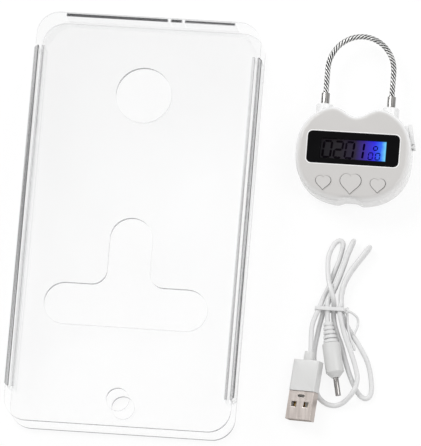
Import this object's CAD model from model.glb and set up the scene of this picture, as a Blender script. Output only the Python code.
import math
import bpy
import numpy as np
from mathutils import Matrix, Vector


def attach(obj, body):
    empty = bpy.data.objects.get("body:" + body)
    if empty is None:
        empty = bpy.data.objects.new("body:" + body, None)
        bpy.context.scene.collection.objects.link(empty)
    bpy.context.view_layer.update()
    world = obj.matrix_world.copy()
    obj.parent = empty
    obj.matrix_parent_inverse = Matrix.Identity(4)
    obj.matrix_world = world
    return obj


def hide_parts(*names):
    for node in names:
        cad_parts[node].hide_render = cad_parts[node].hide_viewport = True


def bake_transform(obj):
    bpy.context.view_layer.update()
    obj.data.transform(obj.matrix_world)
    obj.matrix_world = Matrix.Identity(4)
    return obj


bl_info = {
    "name": "Timed lock container",
    "version": (1, 0, 0),
    "blender": (4, 5, 0),
    "location": "3D View > Sidebar > Timed lock",
    "description": "Clear phone box, countdown padlock and tied charging lead",
    "category": "Object",
}

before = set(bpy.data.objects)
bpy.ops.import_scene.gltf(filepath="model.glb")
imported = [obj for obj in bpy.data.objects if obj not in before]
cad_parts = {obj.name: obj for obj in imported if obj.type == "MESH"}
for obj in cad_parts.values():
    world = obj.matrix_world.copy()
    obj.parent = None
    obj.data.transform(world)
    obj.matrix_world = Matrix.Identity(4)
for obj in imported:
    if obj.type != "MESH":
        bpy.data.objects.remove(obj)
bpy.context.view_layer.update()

MM = 0.001
PAD = np.array([93.2, 38.4])
CASE_HIGH, CASE_WALL = 16.0, 1.8
FRONT_EDGE, BACK_EDGE = 2.8, 3.4  # radii of the case's rounded edges
SPLIT = 8.0  # where the case's halves meet, and the height of the shackle's line
SIGHT_Y = 0.6  # shift of the clear sight
SIGHT_HALF = (("X", 0.0144), ("Y", 0.0044))  # half of the clear sight, in metres
PORT = ((25.5, 9.9), math.radians(12.5))  # charging port: its place and its turn
WINDOW_Y = 1.0
KEYS = [(-12, 6.6, 6.2, -15), (0, 9.2, 9.0, -14.9), (12, 6.6, 6.3, -15)]  # x, w, h, y
SCREWS = [(-19.5, -10), (19.5, -10), (8.6, 13.9)]
CORE = 0.01  # radius at which the lathe's profiles start, so that they close

# Rope: from the middle to either leg, foot and length of a leg, rise of the arch,
# outer radius, and how far a point stands from the line in a groove and on a crown
LEG, ROPE_FOOT, LEG_LEN, ARCH_RISE, ROPE_R = 14.6, 26.9, 11, 15.52, 1.23
GROOVE_R, CROWN_R = 0.9, 1.21

# Digits of the display: sign, left, foot, width, height, pen
DIGITS = [("0", -13.2, -3.6, 3.4, 7.2, 0.95), ("2", -8.3, -3.6, 3.4, 7.2, 0.95),
          ("0", -3.4, -3.6, 3.4, 7.2, 0.95), ("1", 1.0, -3.6, 3.4, 7.2, 0.95),
          ("0", 7.0, -3.6, 1.8, 3.0, 0.45), ("0", 10.1, -3.6, 1.8, 3.0, 0.45),
          ("c", 8.7, 0.7, 1.7, 3.2, 0.5)]
DIGITS_LOW, DIGITS_HIGH, DIGITS_SLANT = 14.15, 14.25, 0.09

# USB plug: the back end of its grip, its turns in degrees, its lengths, and half the
# width and height of its metal shell
USB_BACK, USB_TURN, USB_ROLL = (80.2, -54.2, 5.05), -4.8, -20.0
GRIP_LEN, SHELL_LEN = 13.7, 12.8
SHELL_X, SHELL_Z, SHELL_SHEET = 6, 2.25, 0.35

# Camera: direction back to it, its turn about that line, and what it aims at
VIEW_BACK, VIEW_TURN, VIEW_AIM = (0.11, -0.2, 1.0), 0.063, (34.15, 0.7, 24.0)
FLOOR_HALF, FLOOR_Z = 3000.0, -0.05

# Heights of the cord's centre: on the floor, on one strand, on two, and on the
# lower and the upper layer inside the tie
LOW, TOP, OVER, TIE_L, TIE_T = 1.1, 3.95, 6.85, 1.85, 4.7
MID = (LOW + TOP) / 2
# The cord's route: neck, long loop, right loop, right fold, left loop, middle fold,
# small plug
ROUTE = [
    [80.43, -51.4, 5.13], [80.66, -48.4, 5.2], [80.4, -43, 4.9], [80.4, -38.4, TIE_T],
    [81.4, -34.4, TIE_T], [82.9, -30.5, TIE_T],
    [84.1, -25.4, 2.4], [85.7, -21, LOW], [87.1, -16.4, LOW], [88.5, -11.8, LOW],
    [89.7, -7.8, LOW], [90.6, -3.4, LOW], [90.8, -0.2, LOW], [89.3, 1, LOW],
    [87.3, -0.4, LOW], [85.7, -3.6, 1.4], [85, -7.1, 2.2], [85.1, -10.9, 3.4],
    [85.7, -15.8, 4.6], [86.6, -19.5, 5.8], [87.9, -23.1, OVER], [88.9, -26, 6.3],
    [89.2, -28, 4.4], [89.1, -30.6, TIE_L],
    [89.3, -33.5, 1.5], [90.1, -37.1, LOW], [91.7, -41.5, LOW], [93.6, -45.8, LOW],
    [95.8, -52.2, LOW], [97.3, -56.3, LOW], [98.6, -59.4, LOW], [100.4, -63, LOW],
    [102.2, -66, LOW], [104.2, -68, LOW], [106.2, -68.6, LOW], [107.8, -67.3, LOW],
    [108.3, -64.3, LOW], [107.8, -60.4, LOW], [106.9, -56.2, LOW], [105.3, -51.8, LOW],
    [103, -47.8, LOW], [100.6, -44.2, LOW], [98.1, -40.9, LOW], [95.7, -37.3, LOW],
    [93.9, -33.9, 1.4], [92.5, -30.5, TIE_L],
    [92.3, -27.6, 1.5], [92, -24.1, LOW], [92.5, -20.1, LOW], [93.6, -16.5, LOW],
    [95.2, -13.1, LOW], [97.3, -9.7, LOW], [99.6, -6.3, LOW], [101.2, -3.9, LOW],
    [102, -2.7, LOW], [102.8, -1.5, MID], [102, -2.7, TOP],
    [101.2, -3.9, TOP], [99.6, -6.3, TOP], [97.3, -9.7, TOP], [95.2, -13.1, TOP],
    [93.6, -16.5, TOP], [92.5, -20.1, TOP], [92, -24.1, TOP], [92.3, -27.6, TIE_T],
    [91.7, -30.5, TIE_T],
    [92.6, -34, TIE_T], [93.9, -38.5, TOP], [95.5, -42.8, TOP], [97.4, -47.1, TOP],
    [99.3, -51.6, TOP], [100.9, -56, TOP], [101.9, -60, TOP], [101.6, -63.5, TOP],
    [100.5, -66.4, TOP], [98.7, -69, 3.1], [96, -71.4, 1.8], [92.6, -72.6, LOW],
    [89.1, -72, LOW], [86, -69.9, LOW], [84.3, -66.8, LOW], [83.4, -62, LOW],
    [82.8, -56.5, LOW], [82, -51.5, LOW], [82.1, -47, LOW], [82.6, -42.6, LOW],
    [83.2, -38, LOW], [84, -34, 1.4], [84.8, -30.5, TIE_L],
    [86.2, -27.6, 1.5], [87.4, -24.4, LOW], [88.9, -20.4, LOW], [90.3, -16.2, LOW],
    [91.4, -12.4, LOW], [92.5, -8.6, LOW], [93.5, -4.8, LOW], [94.6, -1.6, LOW],
    [95, -0.4, LOW], [95.5, 0.9, MID], [95, -0.4, TOP],
    [94.6, -1.6, TOP], [93.5, -4.8, TOP], [92.5, -8.6, TOP], [91.4, -12.4, TOP],
    [90.3, -16.2, TOP], [88.9, -20.4, TOP], [87.4, -24.4, TOP], [86.3, -27.5, 4.6],
    [86.5, -30.5, TIE_T],
    [86.8, -34.6, 4.1], [87.46, -37.6, 4.1]]
# The tie: centre of its band, width, height and corner radius of the band's loop and
# of its section, and its two ends beyond the knot
BAND_AT, BAND_LOOP = (87.7, -30.55, 3.3), (13.0, 6.0, 1.5)
BAND_SECTION = (0.6, 1.7, 0.22)
TAILS = [
    [[94.2, -30.6, 3.6], [95.5, -30.8, 3.9], [97.8, -31.6, 3.3], [99.7, -33.2, 2.2],
     [100.2, -35.4, 1.6], [99.9, -37.8, 2.2], [99.3, -39.6, 2.9], [98.9, -41, 2.9]],
    [[94.2, -30.5, 2.2], [95.1, -31.7, 3], [95.6, -34, 3.1], [96, -37.4, 3],
     [96.8, -40.6, 3], [97.8, -43.6, 3], [99.2, -46.4, 2.9], [99.8, -47.9, 2.9]]]


# ---- curves and surfaces ----
def smooth_route(points, per_step):
    """Catmull-Rom curve: each stretch between two points is the cubic whose slope at
    a point is half the step between that point's neighbours."""
    p = np.array(points, float)
    p = np.vstack([p[:1], p, p[-1:]])
    a, b, c, d = p[:-3], p[1:-2], p[2:-1], p[3:]
    u = (np.arange(per_step) / per_step)[None, :, None]
    a, b, c, d = (q[:, None, :] for q in (a, b, c, d))
    q = 0.5 * (2 * b + (c - a) * u + (2 * a - 5 * b + 4 * c - d) * u ** 2
               + (3 * b - a - 3 * c + d) * u ** 3)
    return np.vstack([q.reshape(-1, 3), p[-1:]])


def unit(v):
    return v / np.linalg.norm(v, axis=-1, keepdims=True)


def carried_frames(path):
    """Two directions square to the path at each station, carried along it so that
    they turn no more than the path does: each is the last one less its share along
    the path."""
    along = unit(np.gradient(path, axis=0))
    first = np.empty_like(path)
    n = np.cross(along[0], [0, 0, 1.0])
    for i, t in enumerate(along):
        n = n - t * (n @ t)
        n = n / math.sqrt(n @ n)
        first[i] = n
    return first, np.cross(along, first)


def grid_faces(rows, cols):
    """Quads of a grid that closes round its columns."""
    i, j = np.meshgrid(np.arange(rows - 1), np.arange(cols), indexing="ij")
    k = (j + 1) % cols
    return np.stack([i * cols + j, i * cols + k, (i + 1) * cols + k,
                     (i + 1) * cols + j], -1).reshape(-1, 4)


def make_mesh(name, parts, material, sharp=32):
    """One mesh of several grids, each (points, faces, end rings), in millimetres."""
    verts, faces, base = [], [], 0
    for points, quads, caps in parts:
        verts.append(points)
        faces += (quads + base).tolist() + [[v + base for v in c] for c in caps]
        base += len(points)
    mesh = bpy.data.meshes.new(name)
    mesh.from_pydata((np.vstack(verts) * MM).tolist(), [], faces)
    mesh.update()
    obj = bpy.data.objects.new(name, mesh)
    bpy.context.scene.collection.objects.link(obj)
    outward(mesh)
    mesh.set_sharp_from_angle(angle=math.radians(sharp))
    mesh.polygons.foreach_set("use_smooth", [True] * len(mesh.polygons))
    if material:
        mesh.materials.append(material)
    return obj


def outward(mesh):
    """Turns a closed mesh whose enclosed volume is negative inside out."""
    mesh.calc_loop_triangles()
    t = np.empty(len(mesh.loop_triangles) * 3, np.int32)
    mesh.loop_triangles.foreach_get("vertices", t)
    co = np.empty(len(mesh.vertices) * 3)
    mesh.vertices.foreach_get("co", co)
    a, b, c = np.moveaxis(co.reshape(-1, 3)[t.reshape(-1, 3)], 1, 0)
    if (a * np.cross(b, c)).sum() < 0:
        mesh.flip_normals()


def rings_part(rings):
    """A skin through rings of equal count, (rows, columns, 3), closed at both ends."""
    rows, cols = rings.shape[:2]
    low = list(range(cols - 1, -1, -1))
    high = list(range((rows - 1) * cols, rows * cols))
    return rings.reshape(-1, 3), grid_faces(rows, cols), [low, high]


def tube_part(path, radius, sides, frames=None):
    """A round tube: at each station a ring, radius times (cos a, sin a) in the two
    directions square to the path. Radius is one number or one for each station."""
    n, b = frames or carried_frames(path)
    a = np.linspace(0, 2 * np.pi, sides, endpoint=False)
    r = np.broadcast_to(np.asarray(radius, float), (len(path),))[:, None, None]
    ring = np.cos(a)[None, :, None] * n[:, None] + np.sin(a)[None, :, None] * b[:, None]
    return rings_part(path[:, None] + r * ring)


def lathe_part(profile, origin, axis, sides):
    """A profile of (radius, height) points turned round an axis through origin."""
    axis = unit(np.array(axis, float))
    n = unit(np.cross(axis, [0, 0, 1.0] if abs(axis[2]) < 0.9 else [1.0, 0, 0]))
    b = np.cross(axis, n)
    r, h = np.array(profile, float).T
    a = (np.arange(sides) + 0.5) * 2 * np.pi / sides
    ring = np.cos(a)[None, :, None] * n + np.sin(a)[None, :, None] * b
    return rings_part(np.array(origin, float) + h[:, None, None] * axis
                      + r[:, None, None] * ring)


def drum_part(radius, length, origin, axis, sides):
    """A round bar that starts at origin."""
    return lathe_part([(CORE, 0), (radius, 0), (radius, length), (CORE, length)],
                      origin, axis, sides)


def prism_part(outline, low, high):
    """A flat outline drawn straight up from low to high."""
    rings = np.stack([np.column_stack([outline, np.full(len(outline), z)])
                      for z in (low, high)])
    return rings_part(rings)


def ring_part(*loops):
    """A closed ring: its section's corners are loops of equal count."""
    rings = np.stack(loops)
    rows, cols = rings.shape[:2]
    i, j = np.meshgrid(np.arange(rows), np.arange(cols), indexing="ij")
    a, b = (i + 1) % rows, (j + 1) % cols
    quads = np.stack([i * cols + j, i * cols + b, a * cols + b, a * cols + j],
                     -1).reshape(-1, 4)
    return rings.reshape(-1, 3), quads, []


def box_part(low, high, turn=None):
    """A block between two corners; turn is (centre, angle) about Z."""
    (x0, y0, z0), (x1, y1, z1) = low, high
    flat = np.array([[x0, y0], [x1, y0], [x1, y1], [x0, y1]], float)
    if turn:
        (cx, cy), a = turn
        c, s = math.cos(a), math.sin(a)
        flat = flat @ np.array([[c, s], [-s, c]]) + [cx, cy]
    return prism_part(flat, z0, z1)


# ---- outlines ----
def apple(inset, notch=1.0, count=240):
    """Apple outline: x = 25.4 cos^(2/n), y = 21.7 sin^(2/n) less a dip of 5.8
    exp(-(x/7)^2) above, and -22.6 sin^(2/n) below, moved inwards along its normal,
    with a notch of 1.6 exp(-(x/4.3)^4) in the middle of its lower edge."""
    def raw(t):
        c, s = np.cos(t), np.sin(t)
        n = np.where(s >= 0, 2.3, 2.45)
        x = 25.4 * np.sign(c) * np.abs(c) ** (2 / n)
        y = np.where(s >= 0, 21.7 * np.abs(s) ** (2 / n) - 5.8 * np.exp(-(x / 7) ** 2),
                     -22.6 * np.abs(s) ** (2 / n))
        return np.stack([x, y], -1)
    t = (np.arange(count) + 0.5) * 2 * np.pi / count
    step = 0.0105
    d = unit(raw(t + step) - raw(t - step))
    p = raw(t) + inset * np.stack([-d[:, 1], d[:, 0]], -1)
    p[:, 1] += np.where(p[:, 1] < 0, 1.6 * notch * np.exp(-(p[:, 0] / 4.3) ** 4), 0)
    return p


def heart(width, height, count=96):
    """Heart: x = w/2 (0.85 sin^3 + 0.15 sin), y = h/29.05 (14.3 cos t - 3.5 cos 2t
    - 1.6 cos 3t - 0.8 cos 4t + 2.48)."""
    t = -np.linspace(0, 2 * np.pi, count, endpoint=False)
    x = width / 2 * (0.85 * np.sin(t) ** 3 + 0.15 * np.sin(t))
    y = height / 29.05 * (14.3 * np.cos(t) - 3.5 * np.cos(2 * t) - 1.6 * np.cos(3 * t)
                          - 0.8 * np.cos(4 * t) + 2.48)
    return np.stack([x, y], -1)


def soft_rectangle(width, height, radius, count=12):
    """Rectangle with quarter-circle corners."""
    a = np.linspace(0, np.pi / 2, count)
    turns = a[None] + np.arange(4)[:, None] * np.pi / 2
    mid = np.array([[1, 1], [-1, 1], [-1, -1], [1, -1]]) * [width / 2 - radius,
                                                              height / 2 - radius]
    p = mid[:, None] + radius * np.stack([np.cos(turns), np.sin(turns)], -1)
    return p.reshape(-1, 2)


# ---- materials ----
def put(tree, kind, inputs=None, **props):
    """Adds a shader node; inputs are values or other nodes' outputs."""
    n = tree.nodes.new("ShaderNode" + kind)
    for key, value in props.items():
        setattr(n, key, value)
    for key, value in (inputs or {}).items():
        s = n.inputs[key]
        if isinstance(value, bpy.types.NodeSocket):
            tree.links.new(value, s)
        else:
            s.default_value = value
    return n


def reckon(tree, how, *values):
    """A number made of up to three others."""
    return put(tree, "Math", dict(enumerate(values)), operation=how).outputs[0]


def span(tree, value, low, high, start=0.0, end=1.0):
    """Goes from start to end as value goes from low to high, and no further."""
    return put(tree, "MapRange", {"Value": value, "From Min": low, "From Max": high,
                                  "To Min": start, "To Max": end}).outputs[0]


def noise(tree, place, scale, detail, **more):
    return put(tree, "TexNoise", {"Vector": place, "Scale": scale, "Detail": detail,
                                  **more}).outputs["Fac"]


def moved_to(tree, place, **inputs):
    return put(tree, "Mapping", {"Vector": place, **inputs}).outputs[0]


def axes(tree, vector):
    return put(tree, "SeparateXYZ", {"Vector": vector}).outputs


def bumps(tree, height, strength, distance):
    return put(tree, "Bump", {"Height": height, "Strength": strength,
                              "Distance": distance}).outputs[0]


def mix_colour(tree, factor, a, b, how="MIX"):
    n = put(tree, "Mix", {0: factor, 6: a, 7: b}, data_type="RGBA", blend_type=how)
    return n.outputs[2]


def ramp(tree, value, stops):
    """Colours at places along a value from 0 to 1."""
    n = put(tree, "ValToRGB", {"Fac": value})
    e = n.color_ramp.elements
    e[0].position, e[0].color = stops[0]
    e[1].position, e[1].color = stops[-1]
    for place, colour in stops[1:-1]:
        e.new(place).color = colour
    return n.outputs[0]


def grey(level, tint=0.0):
    """Linear grey, with so much more blue."""
    return (level, level, level + tint, 1.0)


def srgb(*levels):
    """0 to 255 levels of a display as linear colour."""
    c = np.array(levels, float) / 255
    c = np.where(c <= 0.04045, c / 12.92, ((c + 0.055) / 1.055) ** 2.4)
    return (*c.tolist(), 1.0)


def blank(name):
    """An empty material with its tree and the piece's own coordinates."""
    m = bpy.data.materials.new(name)
    m.use_nodes = True
    t = m.node_tree
    t.nodes.clear()
    return m, t, put(t, "TexCoord").outputs["Object"]


def finished(m, shader):
    """Joins the shader to the material's output."""
    t = m.node_tree
    t.links.new(shader.outputs[0], put(t, "OutputMaterial").inputs[0])
    return m


def moulded(name, light, dark, rough=(0.3, 0.45), grain=900.0, metal=0.0, coat=0.0,
            patch=90.0):
    """Moulded or drawn finish: broad patches between two colours, with fine grain
    in the gloss and the surface."""
    m, t, co = blank(name)
    broad = noise(t, co, patch, 5.0, Roughness=0.6)
    fine = noise(t, co, grain, 3.0)
    return finished(m, put(t, "BsdfPrincipled", {
        "Base Color": mix_colour(t, broad, light, dark), "Metallic": metal,
        "Roughness": span(t, fine, 0.3, 0.7, *rough), "Coat Weight": coat,
        "Normal": bumps(t, fine, 0.5, 0.00002)}))


def outward_normal(t):
    """The surface's own outward normal, whichever side it is seen from."""
    g = put(t, "NewGeometry")
    sign = reckon(t, "MULTIPLY_ADD", g.outputs["Backfacing"], -2.0, 1.0)
    return put(t, "VectorMath", {0: g.outputs["Normal"], "Scale": sign},
               operation="SCALE").outputs[0]


def clear_sheet(name, face, edge, shade):
    """Clear acrylic sheet: its faces have a slight grey tint that deepens towards
    one corner, and its cut edges are darker, most where they face -Y, under a
    glossy skin."""
    m, t, co = blank(name)
    at = axes(t, co)
    corner = reckon(t, "ADD", reckon(t, "MULTIPLY", at["X"], -4.6),
                    reckon(t, "MULTIPLY", at["Y"], 3.6))
    tone = reckon(t, "ADD", corner, noise(t, co, 14.0, 2.0))
    flat = mix_colour(t, span(t, tone, 0.3, 1.05), face, shade)
    normal = outward_normal(t)
    upright = span(t, reckon(t, "ABSOLUTE", axes(t, normal)["Z"]), 0.95, 0.6)
    toward = put(t, "VectorMath", {0: normal, 1: (0.35, -0.93, 0.0)},
                 operation="DOT_PRODUCT").outputs["Value"]
    rim = mix_colour(t, span(t, toward, 0.1, 0.9), grey(0.95), edge)
    return glossy_clear(m, t, co, mix_colour(t, upright, flat, rim), 0.3)


def clear_wall(name, through, top, line, soft_line, streak, hatched, level):
    """Clear upright wall: hardly tinted across, grey where one looks down into its
    top above level, with a thin line at its rounded edges, darkest where they face
    +X, and fine streaks along Y, on the uprights for the hatched share only."""
    m, t, co = blank(name)
    drawn = moved_to(t, co, Scale=(2300.0, 9.0, 620.0), Rotation=(0.0, 0.0, 0.012))
    band = span(t, noise(t, drawn, 1.0, 1.0), 0.42, 0.62, 1.0, streak)
    streaks = put(t, "CombineColor", dict.fromkeys(("Red", "Green", "Blue"),
                                                   band)).outputs[0]
    facing = axes(t, outward_normal(t))
    up = facing["Z"]
    edge = mix_colour(t, span(t, facing["X"], -0.3, 0.3), soft_line, line)
    z = axes(t, co)["Z"]
    upright = span(t, reckon(t, "ABSOLUTE", up), 0.15, 0.3, hatched, 0.0)
    hatch = reckon(t, "MULTIPLY", upright, span(t, z, 0.0085, 0.009))
    faint = mix_colour(t, hatch, grey(1.0), streaks)
    tint = mix_colour(t, 1.0, through, faint, "MULTIPLY")
    flat = mix_colour(t, 1.0, top, streaks, "MULTIPLY")
    high = span(t, z, level - 0.0005, level)
    for colour, low, full in ((edge, 0.15, 0.3), (flat, 0.93, 0.98)):
        share = reckon(t, "MULTIPLY", span(t, up, low, full), high)
        tint = mix_colour(t, share, tint, colour)
    return glossy_clear(m, t, co, tint, 0.06)


def glossy_clear(m, t, co, tint, part):
    """What is behind shows through the tint, under a thin glossy skin."""
    bump = bumps(t, noise(t, co, 420.0, 2.0), 0.25, 0.00001)
    through = put(t, "BsdfTransparent", {"Color": tint})
    skin = put(t, "BsdfPrincipled", {"Base Color": (0.8, 0.82, 0.83, 1.0),
                                     "Roughness": 0.06, "Specular IOR Level": 0.6,
                                     "Normal": bump})
    rim = put(t, "Fresnel", {"IOR": 1.35, "Normal": bump}).outputs[0]
    return finished(m, put(t, "MixShader", {
        0: reckon(t, "MULTIPLY", rim, part), 1: through.outputs[0],
        2: skin.outputs[0]}))


def bright_steel(name, light=(0.62, 0.6, 0.58, 1), dark=(0.2, 0.19, 0.19, 1),
                 grain=(40.0, 40.0, 900.0), rough=0.22):
    """Plated steel: drawn streaks between a light and a dark grey, darker where the
    surface turns away."""
    m, t, co = blank(name)
    streak = noise(t, moved_to(t, co, Scale=grain), 4.0, 5.0)
    away = put(t, "LayerWeight", {"Blend": 0.45}).outputs["Facing"]
    colour = mix_colour(t, away, mix_colour(t, streak, light, dark), dark)
    return finished(m, put(t, "BsdfPrincipled", {
        "Base Color": colour, "Metallic": 1.0, "Roughness": rough,
        "Normal": bumps(t, streak, 0.3, 0.00002)}))


def rope_steel(name):
    """Wire rope: bright on the crowns of its strands and dark in the grooves, by the
    rope's own attribute of how far each point stands from its line."""
    m, t, co = blank(name)
    proud = put(t, "Attribute", attribute_name="proud").outputs["Fac"]
    wear = reckon(t, "MULTIPLY_ADD", noise(t, co, 260.0, 4.0), 0.5, -0.25)
    colour = ramp(t, reckon(t, "ADD", proud, wear), [
        (0.45, grey(0.01)), (0.68, grey(0.2)), (0.95, (0.78, 0.78, 0.77, 1))])
    return finished(m, put(t, "BsdfPrincipled", {
        "Base Color": colour, "Metallic": 0.75, "Roughness": 0.34}))


def display_glow(name):
    """Display: nearly black at the left, with a violet to blue to cyan glow that
    strengthens towards the backlight at the right end."""
    m, t, co = blank(name)
    x = axes(t, moved_to(t, co, Location=(-PAD[0] * MM, 0, 0)))["X"]
    blur = reckon(t, "MULTIPLY", noise(t, co, 500.0, 3.0), 0.0012)
    along = span(t, reckon(t, "ADD", x, blur), -0.0145, 0.0145)
    glow = put(t, "Emission", {"Color": ramp(t, along, [
        (0.0, srgb(14, 12, 14)), (0.3, srgb(34, 30, 32)), (0.55, srgb(40, 31, 52)),
        (0.68, srgb(60, 40, 140)), (0.84, srgb(52, 50, 235)),
        (0.94, srgb(52, 112, 255)), (1.0, srgb(120, 215, 255))])})
    skin = put(t, "BsdfPrincipled", {"Base Color": (0.012, 0.012, 0.014, 1),
                                     "Roughness": 0.3, "Specular IOR Level": 0.1})
    return finished(m, put(t, "AddShader", {0: glow.outputs[0], 1: skin.outputs[0]}))


def window_sheet(name):
    """Window: printed black round a clear sight."""
    m, t, co = blank(name)
    at = axes(t, moved_to(t, co, Location=(-PAD[0] * MM, -(PAD[1] + SIGHT_Y) * MM, 0)))
    beyond = [reckon(t, "SUBTRACT", reckon(t, "ABSOLUTE", at[axis]), half)
              for axis, half in SIGHT_HALF]
    ink = span(t, reckon(t, "MAXIMUM", *beyond), -0.0001, 0.0002)
    speck = noise(t, co, 300.0, 3.0)
    tint = mix_colour(t, speck, grey(0.97, 0.01), grey(0.94, 0.02))
    black = mix_colour(t, speck, grey(0.003, 0.0004), grey(0.005, 0.0005))
    through = put(t, "BsdfTransparent", {"Color": tint})
    skin = put(t, "BsdfPrincipled", {"Base Color": black, "Roughness": 0.2,
                                     "Specular IOR Level": 0.04})
    rim = put(t, "Fresnel", {"IOR": 1.12}).outputs[0]
    return finished(m, put(t, "MixShader", {
        0: reckon(t, "MAXIMUM", rim, ink), 1: through.outputs[0],
        2: skin.outputs[0]}))


def shadow_ink(name):
    """Display segments: what is behind shows darker through them, most over the
    lit end."""
    m, t, co = blank(name)
    lit = span(t, axes(t, co)["X"], (PAD[0] - 2) * MM, (PAD[0] + 4) * MM)
    pale = mix_colour(t, noise(t, co, 900.0, 2.0), (0.4, 0.37, 0.44, 1),
                      (0.62, 0.58, 0.64, 1))
    tint = mix_colour(t, lit, pale, (0.2, 0.15, 0.3, 1))
    return finished(m, put(t, "BsdfTransparent", {"Color": tint}))


def case_finish(name, face, rim, patch):
    """Case plastic: satin grey-white face, glossier over its rounded rim, which it
    reaches over the last 0.75 mm of height and which is brighter towards +Y."""
    m, t, co = blank(name)
    at = axes(t, co)
    top = span(t, at["Z"], 0.0152, 0.01595)
    flat = mix_colour(t, noise(t, co, 70.0, 5.0), face, patch)
    far = span(t, at["Y"], (PAD[1] - 12) * MM, (PAD[1] + 6) * MM)
    edge = mix_colour(t, far, srgb(233, 232, 231), rim)
    return finished(m, put(t, "BsdfPrincipled", {
        "Base Color": mix_colour(t, top, edge, flat),
        "Roughness": span(t, top, 0.0, 1.0, 0.22, 0.42), "Coat Weight": 0.2,
        "Normal": bumps(t, noise(t, co, 1400.0, 3.0), 0.5, 0.00001)}))


# ---- finishing ----
def node(name):
    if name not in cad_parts:
        raise RuntimeError(f"the frame has no node {name}")
    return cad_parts[name]


def round_edges(obj, width, segments, angle):
    b = obj.modifiers.new("edge", "BEVEL")
    b.width, b.segments = width * MM, segments
    b.limit_method, b.angle_limit = "ANGLE", math.radians(angle)


def dress(name, material, bevel=0.0, segments=2, angle=32):
    """Gives a carried-over node its finish, and rounds its edges."""
    o = node(name)
    o.data.materials.clear()
    o.data.materials.append(material)
    if bevel:
        weld = o.modifiers.new("weld", "WELD")
        weld.merge_threshold = 0.000001
        round_edges(o, bevel, segments, angle)
    return o


def cut(obj, tools, how="DIFFERENCE"):
    """Cuts or joins closed tools one by one and keeps the result as the mesh."""
    for tool in tools:
        m = obj.modifiers.new("cut", "BOOLEAN")
        m.operation, m.solver, m.object = how, "EXACT", tool
        bpy.context.view_layer.update()
        deps = bpy.context.evaluated_depsgraph_get()
        fresh = bpy.data.meshes.new_from_object(obj.evaluated_get(deps))
        obj.modifiers.clear()
        old, obj.data = obj.data, fresh
        bpy.data.meshes.remove(old)
        bpy.data.objects.remove(tool)
    if len(obj.data.polygons) < 8:
        raise RuntimeError(f"cutting {obj.name} left nothing")
    return obj


def shade(obj, angle):
    mesh = obj.data
    mesh.polygons.foreach_set("use_smooth", [True] * len(mesh.polygons))
    mesh.set_sharp_from_angle(angle=math.radians(angle))


def pad_tool(name, part):
    """A cutting tool in the padlock's place."""
    points, faces, caps = part
    return make_mesh(name, [(points + [*PAD, 0], faces, caps)], None)


# ---- settings ----
def length_setting(name, description, default):
    return bpy.props.FloatProperty(name=name, description=description,
                                   default=default, unit="LENGTH", subtype="DISTANCE")


def colour_setting(name, description, default):
    return bpy.props.FloatVectorProperty(name=name, description=description, size=4,
                                         default=default, subtype="COLOR")


class TimedLockSizes(bpy.types.PropertyGroup):
    cord_width: length_setting("Cord width", "Diameter of the charging cord", 0.0022)
    rope_lay: length_setting("Rope lay", "Length of one turn of the rope's strands",
                             0.0084)
    rope_strands: bpy.props.IntProperty(
        name="Rope strands", description="Strands round the rope's core",
        default=5, min=4, max=9)
    lens_mm: bpy.props.FloatProperty(
        name="Lens", description="Focal length of the camera in millimetres",
        default=462.0, min=50)
    camera_away: length_setting("Camera distance",
                                "Distance from the camera to the kit", 2.5)


class TimedLockColours(bpy.types.PropertyGroup):
    case_white: colour_setting("Case", "Padlock case, satin plastic",
                               srgb(203, 201, 199))
    case_rim: colour_setting("Case rim", "Rounded rim and sides of the case",
                             srgb(238, 238, 238))
    case_shadow: colour_setting("Case, patches", "Darker patches of the case",
                                srgb(196, 194, 192))
    cord_white: colour_setting("Cord", "Soft white of the lead", srgb(228, 228, 228))
    clear_face: colour_setting("Clear sheet", "Tint through one sheet's faces",
                               grey(0.9995))
    clear_shade: colour_setting("Clear sheet, deep",
                                "Deepest tint through its faces", grey(0.978))
    clear_edge: colour_setting("Cut edge", "Tint through a cut edge",
                               (0.42, 0.425, 0.43, 1.0))


def sizes():
    return bpy.context.scene.timed_lock_sizes


def colours():
    return bpy.context.scene.timed_lock_colours


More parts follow.
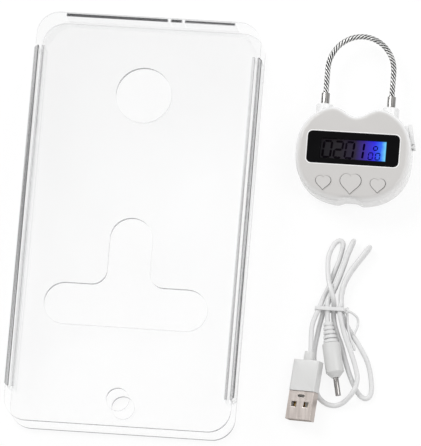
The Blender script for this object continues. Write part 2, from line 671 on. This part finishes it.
# ---- pieces ----
class LOCK_OT_stage(bpy.types.Operator):
    """Camera, pale floor, plain lamps and world"""
    bl_idname = "timedlock.stage"
    bl_label = "Stage"

    def execute(self, context):
        scene = context.scene
        back = unit(np.array(VIEW_BACK))
        turn = np.array([math.cos(VIEW_TURN), math.sin(VIEW_TURN), 0.0])
        right = unit(turn - back * (turn @ back))
        data = bpy.data.cameras.new("camera")
        data.lens, data.sensor_width = sizes().lens_mm, 36.0
        data.clip_start, data.clip_end = 0.1, 10.0
        camera = bpy.data.objects.new("camera", data)
        scene.collection.objects.link(camera)
        m = np.eye(4)
        m[:3, 0], m[:3, 1], m[:3, 2] = right, np.cross(back, right), back
        m[:3, 3] = np.array(VIEW_AIM) * MM + back * sizes().camera_away
        camera.matrix_world = Matrix(m.tolist())
        scene.camera = camera

        corners = np.array([[x * FLOOR_HALF, y * FLOOR_HALF, FLOOR_Z]
                            for x, y in ((-1, -1), (1, -1), (1, 1), (-1, 1))])
        floor = make_mesh("floor", [(corners, np.array([[0, 1, 2, 3]]), [])],
                          self.paper())
        self.sky(scene)
        for name, where, power, size in (
                ("lamp_left", (-0.7, 0.75, 1.0), 9.0, 0.7),
                ("lamp_right", (0.9, 0.05, 1.1), 5.0, 0.8)):
            lamp = bpy.data.lights.new(name, "AREA")
            lamp.energy, lamp.size = power, size
            o = bpy.data.objects.new(name, lamp)
            scene.collection.objects.link(o)
            o.location = where
            toward = Vector((0.03, 0.0, 0.01)) - Vector(where)
            o.rotation_mode = "QUATERNION"
            o.rotation_quaternion = toward.to_track_quat("-Z", "Y")
        scene.view_settings.view_transform = "Standard"
        scene.cycles.transparent_max_bounces = 32
        return {"FINISHED"}

    def paper(self):
        """Pale paper: white to the camera, glass and metal, keeping a soft shadow."""
        m, t, co = blank("paper")
        path = put(t, "LightPath").outputs
        seen = reckon(t, "MAXIMUM", path["Is Camera Ray"], path["Is Glossy Ray"])
        seen = reckon(t, "MAXIMUM", seen, path["Is Transmission Ray"])
        colour = mix_colour(t, noise(t, co, 300.0, 4.0), grey(0.86), grey(0.9))
        return finished(m, put(t, "BsdfPrincipled", {
            "Base Color": mix_colour(t, seen, colour, grey(0.14)), "Roughness": 0.9,
            "Specular IOR Level": 0.0, "Emission Color": grey(1.0),
            "Emission Strength": reckon(t, "MULTIPLY", seen, 0.86)}))

    def sky(self, scene):
        """Plain world: white where it is seen, and an even light elsewhere."""
        world = bpy.data.worlds.new("world")
        world.use_nodes = True
        t = world.node_tree
        t.nodes.clear()
        path = put(t, "LightPath").outputs
        seen = reckon(t, "MAXIMUM", path["Is Camera Ray"], path["Is Transmission Ray"])
        sky = put(t, "Background", {"Color": grey(1.0),
                                    "Strength": span(t, seen, 0.0, 1.0, 0.62, 1.0)})
        t.links.new(sky.outputs[0], put(t, "OutputWorld").inputs[0])
        scene.world = world


class LOCK_OT_lead(bpy.types.Operator):
    """Charging cord with its tie, and the finish of both plugs"""
    bl_idname = "timedlock.lead"
    bl_label = "Charging lead"

    def execute(self, context):
        soft = moulded("soft_white", tuple(colours().cord_white),
                       srgb(218, 218, 218), rough=(0.32, 0.42), grain=700, coat=0.1)
        path = smooth_route(ROUTE, 9)
        path[:, 2] = np.maximum(path[:, 2], LOW)
        cord = make_mesh("cord", [tube_part(path, sizes().cord_width / MM / 2, 14)],
                         soft, sharp=70)
        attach(cord, "tray")
        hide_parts("charging_cord")

        tails = []
        for points in TAILS:
            line = smooth_route(points, 8)
            r = 0.55 * np.ones(len(line))
            r[-2:] = 0.5, 0.32
            tails.append(tube_part(line, r, 12))
        a = np.linspace(0, 4 * np.pi, 60)
        coil = np.column_stack([94.75 + 0.55 * np.cos(a), -31.6 + 0.17 * a,
                                3.35 + 0.75 * np.sin(a)])
        tie = make_mesh("tie", [self.tie_band(), tube_part(coil, 0.62, 12), *tails],
                        soft, sharp=60)
        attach(tie, "tray")
        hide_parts("cord_tie")

        steel = bright_steel("plug_steel", light=(0.86, 0.79, 0.75, 1),
                             dark=(0.4, 0.35, 0.32, 1), grain=(200.0, 24.0, 200.0),
                             rough=0.3)
        glossy = moulded("plug_white", srgb(218, 218, 217), srgb(212, 212, 211),
                         rough=(0.28, 0.38), grain=500, coat=0.15)
        shell = self.usb_shell(steel)
        dress("usb_insert", moulded("insert_white", srgb(235, 235, 233),
                                    srgb(222, 222, 220)), 0.15)
        dress("usb_contacts", bright_steel("gold", (0.86, 0.62, 0.28, 1),
                                           (0.5, 0.33, 0.12, 1)))
        dress("usb_grip", glossy, 0.9, 4, 40)
        dress("usb_neck", glossy, 0.25, 3)
        dress("dc_relief", soft, 0.15, 3)
        dress("dc_grip", glossy, 0.35, 3)
        dress("dc_barrel", bright_steel("barrel_steel", grain=(60.0, 60.0, 60.0)), 0.15)
        dress("dc_insulator", moulded("insulator_black", srgb(30, 30, 30),
                                      srgb(22, 22, 22)))
        return {"FINISHED"}

    def usb_shell(self, steel):
        """Folded metal shell of the plug: a tube of sheet with two square latch holes
        and a slot."""
        y0, y1 = -GRIP_LEN - SHELL_LEN, -GRIP_LEN
        in_x, in_z = SHELL_X - SHELL_SHEET, SHELL_Z - SHELL_SHEET
        shell = make_mesh("plug_shell", [box_part((-SHELL_X, y0, -SHELL_Z),
                                                  (SHELL_X, y1, SHELL_Z))], steel)
        tools = [box_part((-in_x, y0 - 1, -in_z), (in_x, y1 + 1, in_z))]
        tools += [box_part((x - 1.2, y0 + 5.6, 0), (x + 1.2, y0 + 7.9, 4))
                  for x in (-2.9, 2.9)]
        slot = soft_rectangle(3.1, 1.2, 0.59, 8) + [0, y1 - 2.3]
        tools.append(prism_part(slot, 0, 4))
        cut(shell, [make_mesh("tool", [p], None) for p in tools])
        turn = (Matrix.Translation(Vector(USB_BACK) * MM)
                @ Matrix.Rotation(math.radians(USB_ROLL), 4, "Y")
                @ Matrix.Rotation(math.radians(USB_TURN), 4, "Z"))
        shell.data.transform(turn)
        round_edges(shell, 0.3, 3, 50)
        shade(shell, 40)
        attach(shell, "tray")
        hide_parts("usb_shell")
        return shell

    def tie_band(self):
        """Flat band round the strands: a soft rectangle swept by a soft rectangle."""
        loop = soft_rectangle(*BAND_LOOP, 10)
        centre = BAND_AT + np.column_stack([loop[:, 0], np.zeros(len(loop)),
                                            loop[:, 1]])
        step = np.roll(loop, -1, 0) - np.roll(loop, 1, 0)
        out = unit(np.column_stack([step[:, 1], -step[:, 0]]))
        out = np.column_stack([out[:, 0], np.zeros(len(out)), out[:, 1]])
        section = soft_rectangle(*BAND_SECTION, 4)
        along = np.array([0, 1.0, 0])
        return ring_part(*(centre[:, None] + section[None, :, :1] * out[:, None]
                           + section[None, :, 1:] * along))


class LOCK_OT_box(bpy.types.Operator):
    """Finish of the clear box"""
    bl_idname = "timedlock.box"
    bl_label = "Clear box"

    def execute(self, context):
        c = colours()
        sheet = clear_sheet("clear_sheet", tuple(c.clear_face), tuple(c.clear_edge),
                            tuple(c.clear_shade))
        for n in ("tray_plate", "cover_plate"):
            dress(n, sheet, 0.3, 3, 50)
        clear = grey(0.994, 0.001)
        # nodes, name, what shows through, top, line, soft line, streak, hatched,
        # level, bevel
        for names, *looks, level, bevel in (
                (("cover_rail_left", "cover_rail_right"), "clear_rail", clear,
                 grey(0.74, 0.005), grey(0.16, 0.005), grey(0.6, 0.005), 0.5, 0.42,
                 0.0205, 0.3),
                (("tray_wall_left", "tray_wall_right"), "clear_wall", clear,
                 grey(0.86, 0.005), grey(0.42, 0.005), grey(0.7, 0.005), 0.65, 0.2,
                 0.0205, 0.22),
                (("phone_stop",), "clear_stop", grey(0.999), grey(0.99), grey(0.975),
                 grey(0.98), 0.98, 0.0, 0.005, 0.2),
                (("cover_end_wall",), "clear_end", clear, grey(0.14, 0.005),
                 grey(0.8, 0.005), grey(0.8, 0.005), 0.9, 0.0, 0.0205, 0.38)):
            material = clear_wall(*looks, level)
            for n in names:
                dress(n, material, bevel, 2, 50)
        return {"FINISHED"}


class LOCK_OT_case(bpy.types.Operator):
    """Padlock case, front and back, with its keys, screws and port cover"""
    bl_idname = "timedlock.case"
    bl_label = "Padlock case"

    def execute(self, context):
        c = colours()
        satin = case_finish("case_satin", tuple(c.case_white), tuple(c.case_rim),
                            tuple(c.case_shadow))
        front = self.half("case_front", satin, True)
        back = self.half("case_back", satin, False)
        for o, n in ((front, "front_shell"), (back, "back_shell")):
            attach(o, "padlock")
            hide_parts(n)
            shade(o, 28)
        key = moulded("key_satin", srgb(205, 203, 201), srgb(199, 197, 195),
                      rough=(0.28, 0.38), grain=1200, coat=0.2)
        for n in ("button_left", "button_center", "button_right"):
            dress(n, key, 0.3, 3, 50)
        cover = moulded("port_white", srgb(232, 232, 232), srgb(226, 226, 226))
        dress("port_cover", cover, 0.3, 3, 50)
        dress("port_hinge", cover)
        dress("case_screws", bright_steel("screw_steel"), 0.08)
        return {"FINISHED"}

    def half(self, name, satin, front):
        """Half of the case: apple rings whose inset follows a quarter circle from the
        side to the face, hollowed by the same outline a wall further in. The notch
        fades out over the first 2.6 mm of inset."""
        r = FRONT_EDGE if front else BACK_EDGE
        a = np.radians(np.linspace(0, 90, 13))
        inset = r * (1 - np.cos(a))
        z = CASE_HIGH - r + r * np.sin(a) if front else r - r * np.sin(a)
        rings = [(0, 1.0, SPLIT - 1 if front else SPLIT + 1)]
        rings += zip(inset, np.maximum(0, 1 - inset / 2.6), z)
        skin = np.stack([np.column_stack([p, np.full(len(p), h)])
                         for p, h in ((apple(i, notch), h) for i, notch, h in rings)])
        body = make_mesh(name, [rings_part((skin if front else skin[::-1])
                                           + [*PAD, 0])], satin)
        hollow = ((SPLIT - 2, CASE_HIGH - CASE_WALL) if front
                  else (CASE_WALL, SPLIT + 2))
        cut(body, [pad_tool("hollow", prism_part(apple(CASE_WALL), *hollow))])
        cut(body, self.bosses(front), "UNION")
        low = SPLIT - 9 if front else SPLIT
        lid = pad_tool("lid", box_part((-40, -40, low), (40, 40, low + 9)))
        return cut(body, [*self.holes(front), lid])

    def bosses(self, front):
        """What is added inside: the sockets of the shackle, the port's seat, the
        screw posts and, at the back, the ribs beside the bolt."""
        tools = [pad_tool("boss", lathe_part(
            [(CORE, 0), (3.0, 0), (3.0, 3.14), (3.8, 3.14), (3.8, 7.34), (3.5, 7.74),
             (CORE, 7.74)], (s * LEG, 13.96, SPLIT), (0, 1, 0), 48)) for s in (-1, 1)]
        tools.append(pad_tool("seat", box_part((-5.5, -6.2, 4.5), (-1.7, 4.4, 11.5),
                                               PORT)))
        radius, length, foot = (2.2, 6.4, 8.1) if front else (2.5, 6.5, 1.5)
        tools += [pad_tool("post", drum_part(radius, length, (x, y, foot), (0, 0, 1),
                                             28)) for x, y in SCREWS]
        if not front:
            tools += [pad_tool("rib", box_part((-16.8, 10.8, 1.5), (-12.4, 12, 5.8))),
                      pad_tool("rib", box_part((-18.3, 11.2, 1.5), (-17.2, 14.8, 5.8)))]
        return tools

    def holes(self, front):
        """What is cut: the sockets' bores, the port's recess, the jack's place, the
        screw holes and, at the front, the window and the key holes."""
        tools = []
        for s, bore, pocket, at, depth in ((-1, 1.95, 2.63, 15.3, 12),
                                           (1, 1.88, 2.65, 14.15, 1.7)):
            tools += [pad_tool("bore", drum_part(bore, 14, (s * LEG, 12.9, SPLIT),
                                                 (0, 1, 0), 36)),
                      pad_tool("pocket", drum_part(pocket, depth, (s * LEG, at, SPLIT),
                                                   (0, 1, 0), 36))]
        (px, py), turn = PORT
        ca, sa = math.cos(turn), math.sin(turn)
        tools += [pad_tool("port_recess", box_part((-1.7, -6.3, 4.4), (6, 5.7, 11.6),
                                                   PORT)),
                  pad_tool("jack_pocket", box_part((-11.4, -2.6, 5.4),
                                                   (-3.1, 2.6, 10.6), PORT)),
                  pad_tool("port_hole", drum_part(
                      2.05, 6, (px - 4 * ca, py - 4 * sa, SPLIT), (ca, sa, 0), 32))]
        if front:
            tools += self.openings()
            tools += [pad_tool("screw_hole", drum_part(0.8, 6.8, (x, y, 7), (0, 0, 1),
                                                       24)) for x, y in SCREWS]
        else:
            profile = [(CORE, 0), (1.6, 0), (1.6, 2.4), (0.85, 2.4), (0.85, 9),
                       (CORE, 9)]
            tools += [pad_tool("screw_hole", lathe_part(profile, (x, y, -1),
                                                        (0, 0, 1), 28))
                      for x, y in SCREWS]
        return tools

    def openings(self):
        """The window's recess and sight hole, and the three key holes."""
        tools = [
            pad_tool("window", prism_part(
                soft_rectangle(40.7, 14.5, 1.5) + [0, WINDOW_Y], 14.9, 18)),
            pad_tool("sight", prism_part(
                soft_rectangle(38, 12, 1.0) + [0, WINDOW_Y], 12, 18))]
        return tools + [pad_tool("key_hole", prism_part(
            heart(w + 0.4, h + 0.4) + [x, y], 9, 18)) for x, w, h, y in KEYS]


class LOCK_OT_display(bpy.types.Operator):
    """Window, display glass with its digits, and the backlight"""
    bl_idname = "timedlock.display"
    bl_label = "Display"

    def execute(self, context):
        dress("window_lens", window_sheet("window_sheet"), 0.2, 3)
        dress("lcd_glass", display_glow("display_glow"))
        section = ((41.5, 15.3, 2.5, 15.7), (41.5, 15.3, 2.5, 15.98),
                   (41.3, 15.1, 2.4, 16.06), (40.9, 14.7, 2.3, 16.06),
                   (40.62, 14.42, 2.2, 15.9), (40.62, 14.42, 2.2, 15.7))
        loops = [np.column_stack([soft_rectangle(w, h, r, 8) + PAD + [0, WINDOW_Y],
                                  np.full(32, z)]) for w, h, r, z in section]
        lip = make_mesh("window_lip", [ring_part(*loops)],
                        moulded("lip_white", srgb(250, 250, 250), srgb(244, 244, 244),
                                rough=(0.25, 0.35)))
        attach(lip, "padlock")
        digits = make_mesh("display_digits", self.segments(), shadow_ink("digit_ink"))
        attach(digits, "padlock")
        dress("backlight_guide", moulded("guide_white", srgb(235, 235, 238),
                                         srgb(225, 225, 230)))
        dress("backlight_led", moulded("led_cream", srgb(240, 236, 214),
                                       srgb(230, 222, 190)))
        return {"FINISHED"}

    def segments(self):
        """Seven-segment digits: six-sided bars between the corners of each digit."""
        lit = {"0": "abcdef", "1": "bc", "2": "abged", "c": "gedc"}
        ends = {"a": (0, 2, 1, 2), "b": (1, 2, 1, 1), "c": (1, 1, 1, 0),
                "d": (0, 0, 1, 0), "e": (0, 0, 0, 1), "f": (0, 1, 0, 2),
                "g": (0, 1, 1, 1)}
        parts = []
        for sign, x, y, w, h, pen in DIGITS:
            for i0, j0, i1, j1 in (ends[k] for k in lit[sign]):
                p = np.array([x + i0 * w, y + j0 * h / 2])
                q = np.array([x + i1 * w, y + j1 * h / 2])
                d = unit(q - p)
                n = np.array([-d[1], d[0]]) * pen / 2
                p, q = p + d * pen * 0.15, q - d * pen * 0.15
                bar = np.array([p, p + d * pen / 2 - n, q - d * pen / 2 - n, q,
                                q - d * pen / 2 + n, p + d * pen / 2 + n])
                bar[:, 0] += bar[:, 1] * DIGITS_SLANT
                parts.append(prism_part(bar + PAD + [0, SIGHT_Y], DIGITS_LOW,
                                        DIGITS_HIGH))
        return parts


class LOCK_OT_shackle(bpy.types.Operator):
    """Twisted wire rope with its metal ends"""
    bl_idname = "timedlock.shackle"
    bl_label = "Shackle"

    def execute(self, context):
        steel = bright_steel("end_steel", light=(0.95, 0.93, 0.9, 1),
                             dark=(0.03, 0.03, 0.03, 1), grain=(330.0, 40.0, 330.0))
        for n in ("shackle_plug", "fixed_ferrule"):
            dress(n, steel, 0.15, 2)
        rope = self.rope()
        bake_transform(rope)
        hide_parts("shackle_rope")
        return {"FINISHED"}

    def rope(self):
        """Strands round a core: each strand's line circles the rope's line, one turn
        in each lay, and a round tube follows it."""
        leg = ROPE_FOOT + np.linspace(0, LEG_LEN, 60, endpoint=False)
        a = np.pi - np.linspace(0, np.pi, 260)
        left = np.column_stack([np.full(60, -LEG), leg])
        arch = np.column_stack([LEG * np.cos(a),
                                ROPE_FOOT + LEG_LEN + ARCH_RISE * np.sin(a)])
        right = np.column_stack([np.full(60, LEG), leg[::-1]])
        flat = np.vstack([left, arch, right]) + PAD
        line = np.column_stack([flat, np.full(len(flat), SPLIT)])
        s = np.concatenate([[0], np.cumsum(np.linalg.norm(np.diff(line, axis=0),
                                                          axis=1))])
        along = unit(np.gradient(line, axis=0))
        up = np.tile([0, 0, 1.0], (len(line), 1))
        side = np.cross(along, up)
        count = sizes().rope_strands
        lay = sizes().rope_lay / MM
        ring = ROPE_R / (1 + math.sin(math.pi / count))
        thick = ring * math.sin(math.pi / count) * 0.98
        parts = [tube_part(line, ring - thick, 8, (side, up))]
        for k in range(count):
            t = (2 * np.pi * s / lay + 2 * np.pi * k / count)[:, None]
            strand = line + ring * (np.cos(t) * side + np.sin(t) * up)
            d = unit(np.gradient(strand, axis=0))
            e = unit(up - d * (d * up).sum(1, keepdims=True))
            parts.append(tube_part(strand, thick, 10, (e, np.cross(d, e))))
        obj = make_mesh("rope", parts, rope_steel("rope_wire"), sharp=70)
        away = np.concatenate([np.linalg.norm(
            p.reshape(len(line), -1, 3) - line[:, None], axis=2).ravel()
            for p, _, _ in parts])
        proud = np.clip((away - GROOVE_R) / (CROWN_R - GROOVE_R), 0, 1)
        obj.data.attributes.new("proud", "FLOAT", "POINT").data.foreach_set(
            "value", proud.astype(np.float32))
        return obj


class LOCK_OT_inside(bpy.types.Operator):
    """Finish of what the padlock holds"""
    bl_idname = "timedlock.inside"
    bl_label = "Inside"

    def execute(self, context):
        board = moulded("board_green", srgb(30, 92, 58), srgb(22, 74, 46),
                        rough=(0.35, 0.5), patch=400)
        black = moulded("chip_black", srgb(38, 38, 40), srgb(28, 28, 30))
        steel = bright_steel("inside_steel", grain=(200.0, 200.0, 200.0))
        brass = bright_steel("cam_brass", (0.72, 0.56, 0.3, 1), (0.4, 0.3, 0.14, 1))
        foil = moulded("cell_foil", srgb(196, 198, 202), srgb(176, 178, 184),
                       rough=(0.25, 0.4), metal=0.7)
        cradle = moulded("cradle_grey", srgb(120, 122, 126), srgb(104, 106, 110))
        for n, m, b in (("circuit_board", board, 0), ("board_chips", black, 0.1),
                        ("tact_switches", black, 0), ("battery", foil, 0.3),
                        ("socket_sleeve", steel, 0), ("latch_bolt", steel, 0.08),
                        ("latch_spring", steel, 0), ("gearbox", cradle, 0.15),
                        ("motor", steel, 0.2), ("motor_cradle", cradle, 0.1),
                        ("cam_shaft", steel, 0), ("lock_cam", brass, 0.08),
                        ("dc_jack", black, 0.1)):
            dress(n, m, b)
        return {"FINISHED"}


class LOCK_PT_panel(bpy.types.Panel):
    bl_idname = "LOCK_PT_panel"
    bl_label = "Timed lock container"
    bl_space_type = "VIEW_3D"
    bl_region_type = "UI"
    bl_category = "Timed lock"

    def draw(self, context):
        for group in (sizes(), colours()):
            for key in group.__annotations__:
                self.layout.prop(group, key)
        for op in OPERATORS:
            self.layout.operator(op.bl_idname)


OPERATORS = (LOCK_OT_stage, LOCK_OT_lead, LOCK_OT_box, LOCK_OT_case,
             LOCK_OT_display, LOCK_OT_shackle, LOCK_OT_inside)
CLASSES = (TimedLockSizes, TimedLockColours, *OPERATORS, LOCK_PT_panel)


def register():
    for c in CLASSES:
        bpy.utils.register_class(c)
    pointer, scene = bpy.props.PointerProperty, bpy.types.Scene
    scene.timed_lock_sizes = pointer(type=TimedLockSizes)
    scene.timed_lock_colours = pointer(type=TimedLockColours)


def unregister():
    del bpy.types.Scene.timed_lock_colours
    del bpy.types.Scene.timed_lock_sizes
    for c in reversed(CLASSES):
        bpy.utils.unregister_class(c)


def main():
    register()
    bpy.ops.timedlock.stage()
    bpy.ops.timedlock.lead()
    bpy.ops.timedlock.box()
    bpy.ops.timedlock.case()
    bpy.ops.timedlock.display()
    bpy.ops.timedlock.shackle()
    bpy.ops.timedlock.inside()


if __name__ == "__main__":
    main()
